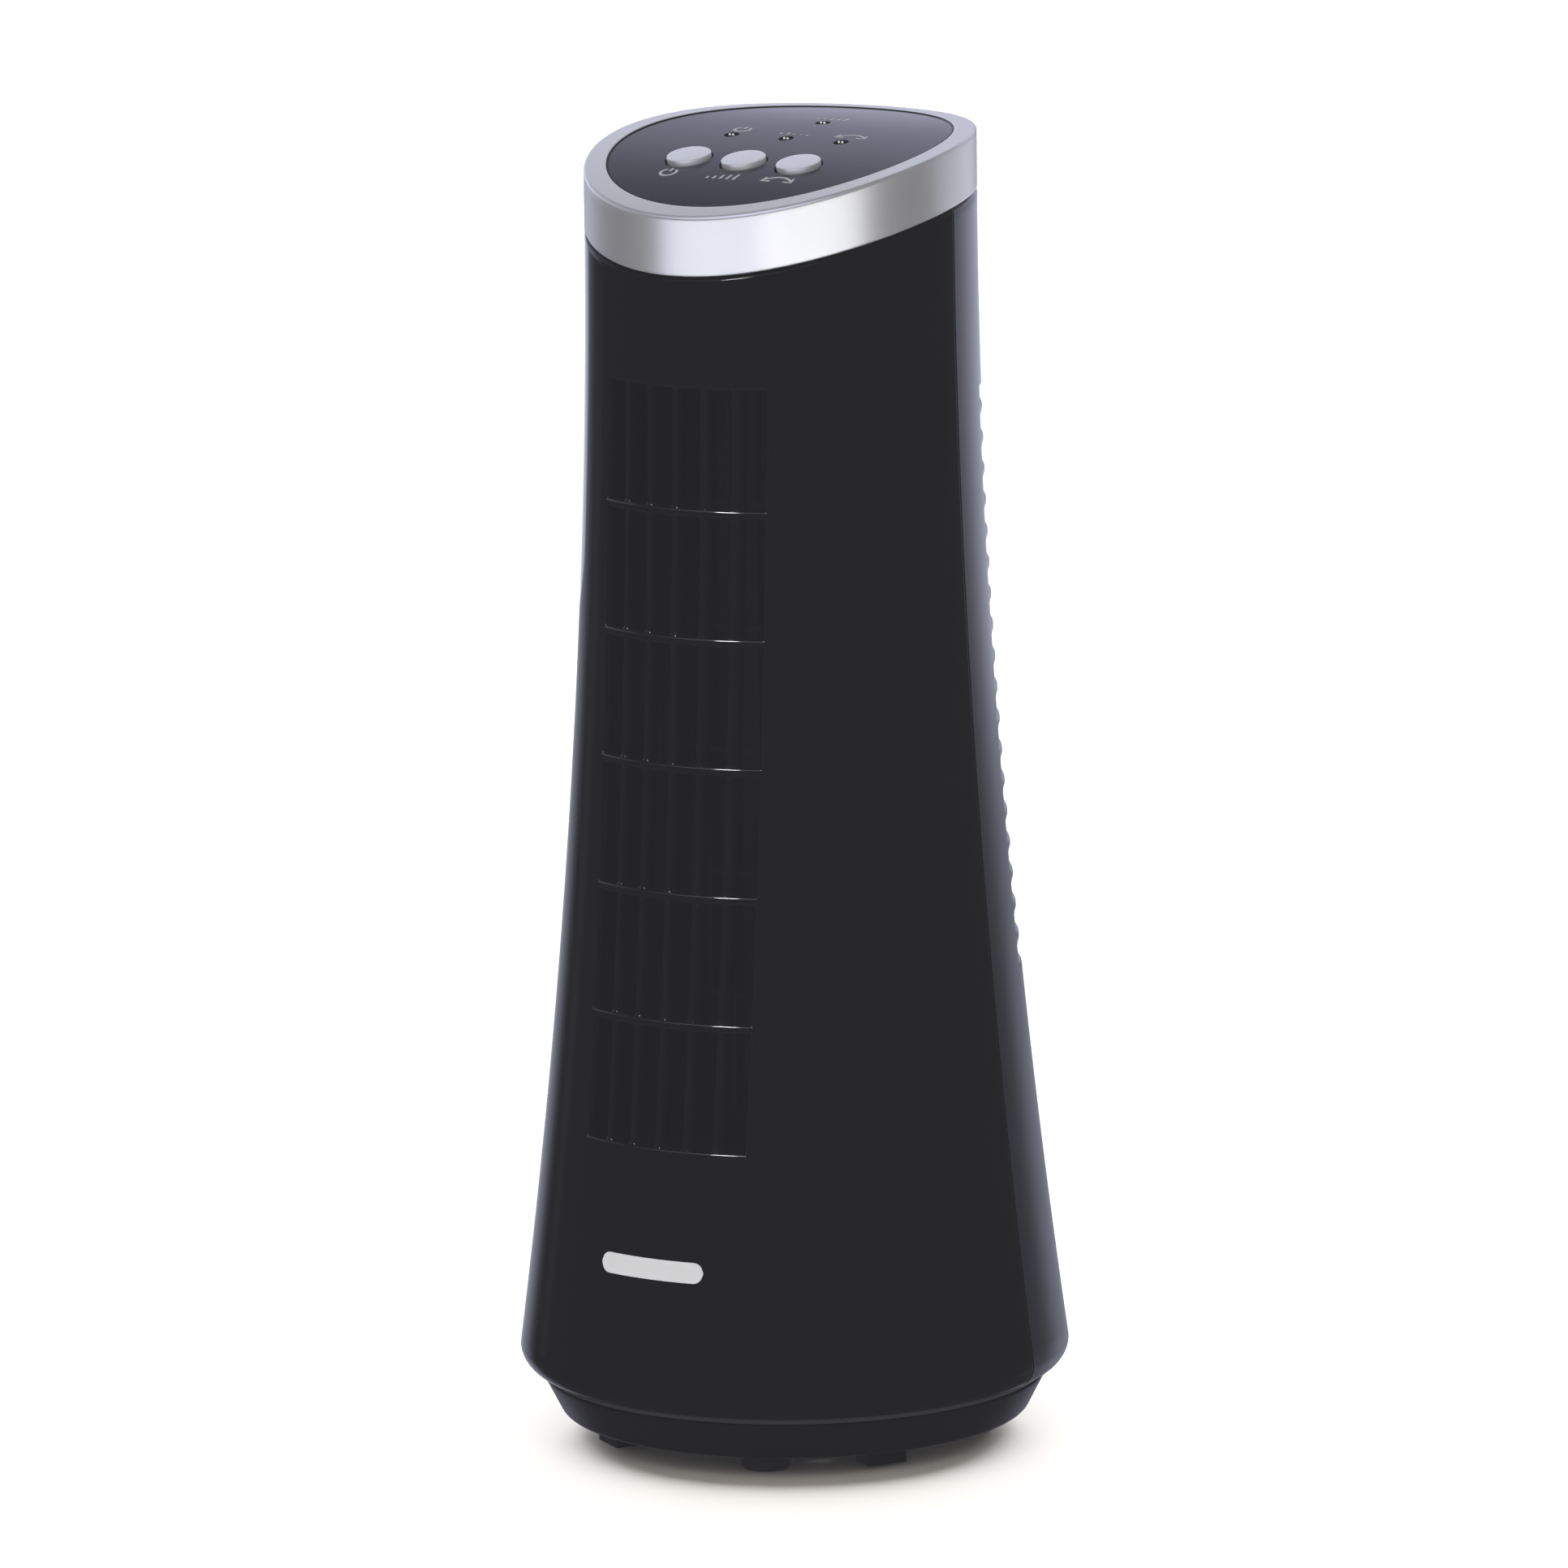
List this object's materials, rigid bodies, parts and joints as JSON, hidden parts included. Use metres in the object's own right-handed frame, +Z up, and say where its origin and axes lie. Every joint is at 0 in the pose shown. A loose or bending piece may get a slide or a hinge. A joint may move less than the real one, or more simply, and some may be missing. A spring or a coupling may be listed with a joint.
{
  "type": "oscillating tower fan",
  "caption": "Desktop tower fan: flared round tower that swings on a round base, cross-flow impeller behind a front grille, slotted back, domed top with push buttons.",
  "frame": {"origin": "on the floor, on the swing axis", "axes": "+Z up along the swing axis; -Y towards the air outlet; +X to the fan's own left, the viewer's right from the front"},
  "size_m": [0.1396, 0.1396, 0.3334],
  "materials": {
    "gloss_black": "high gloss",
    "satin_black": "satin, fine grain",
    "collar_silver": "satin silver paint",
    "panel_grey": "glossy",
    "button_silver": "satin silver",
    "window_smoke": "smoked, glossy",
    "base_black": "matte, fine grain",
    "floor_grey": "satin",
    "badge_silver": "brushed, blank",
    "rubber": "matte",
    "duct_black": "satin",
    "impeller_black": "satin",
    "zinc_steel": "zinc plated",
    "stator_iron": "laminated",
    "copper_wire": "enamelled copper",
    "bronze": "sintered",
    "screw_steel": "plated",
    "white_nylon": "natural nylon",
    "circuit_board": "solder resist",
    "board_parts": "moulded parts",
    "lamp_white": "clear",
    "wire_white": "sleeved wires"
  },
  "bodies": {
    "base": {"base_shell": "base_black", "base_plate": "base_black", "ballast_ring": "zinc_steel", "rubber_feet": "rubber", "glide_ring": "white_nylon", "cord_gland": "rubber", "base_screws": "screw_steel", "swing_gear": "white_nylon", "gear_screws": "screw_steel"},
    "tower": {"tower_floor": "floor_grey", "front_cover": "gloss_black", "rear_shell": "satin_black", "badge": "badge_silver", "shell_screws": "screw_steel", "top_collar": "collar_silver", "control_panel": "panel_grey", "indicator_windows": "window_smoke", "control_board": "circuit_board", "board_switches": "screw_steel", "board_lamps": "lamp_white", "board_screws": "screw_steel", "power_board": "circuit_board", "power_parts": "board_parts", "duct_scroll": "duct_black", "duct_tongue": "duct_black", "duct_top_plate": "duct_black", "duct_bottom_plate": "duct_black", "top_bearing": "bronze", "bearing_seat": "rubber", "motor_housing": "zinc_steel", "motor_stator": "stator_iron", "motor_windings": "copper_wire", "motor_bushes": "bronze", "motor_bracket": "zinc_steel", "motor_grommets": "rubber", "motor_screws": "screw_steel", "swing_motor": "zinc_steel", "swing_motor_screws": "screw_steel", "wire_loom": "wire_white"},
    "impeller": {"impeller_wheel": "impeller_black", "impeller_coupling": "rubber", "impeller_stub": "screw_steel", "motor_rotor": "zinc_steel"},
    "pinion": {"swing_pinion": "white_nylon", "swing_shaft": "screw_steel"},
    "power_key": {"power_button": "button_silver"},
    "speed_key": {"speed_button": "button_silver"},
    "swing_key": {"swing_button": "button_silver"}
  },
  "joints": [
    {"name": "swing", "type": "hinge", "parent": "base", "child": "tower", "pos_m": [0, 0, 0.0165], "axis": [0, 0, 1], "range_deg": [-35, 35]},
    {"name": "impeller_spin", "type": "hinge", "parent": "tower", "child": "impeller", "pos_m": [0, 0.003, 0.08], "axis": [0, 0, 1], "continuous": true},
    {"name": "pinion_spin", "type": "hinge", "parent": "tower", "child": "pinion", "pos_m": [0, 0.0288, 0.023], "axis": [0, 0, 1], "range_deg": [-105, 105]},
    {"name": "power_press", "type": "slide", "parent": "tower", "child": "power_key", "axis": [0, 0.23, -0.9732], "range_m": [0, 0.0008], "stiffness_N_per_m": 800, "springref_m": -0.0002},
    {"name": "speed_press", "type": "slide", "parent": "tower", "child": "speed_key", "axis": [0, 0.23, -0.9732], "range_m": [0, 0.0008], "stiffness_N_per_m": 800, "springref_m": -0.0002},
    {"name": "swing_press", "type": "slide", "parent": "tower", "child": "swing_key", "axis": [0, 0.23, -0.9732], "range_m": [0, 0.0008], "stiffness_N_per_m": 800, "springref_m": -0.0002}
  ],
  "couplings": [
    {"joint": "pinion_spin", "follows": "swing", "ratio": 3}
  ]
}
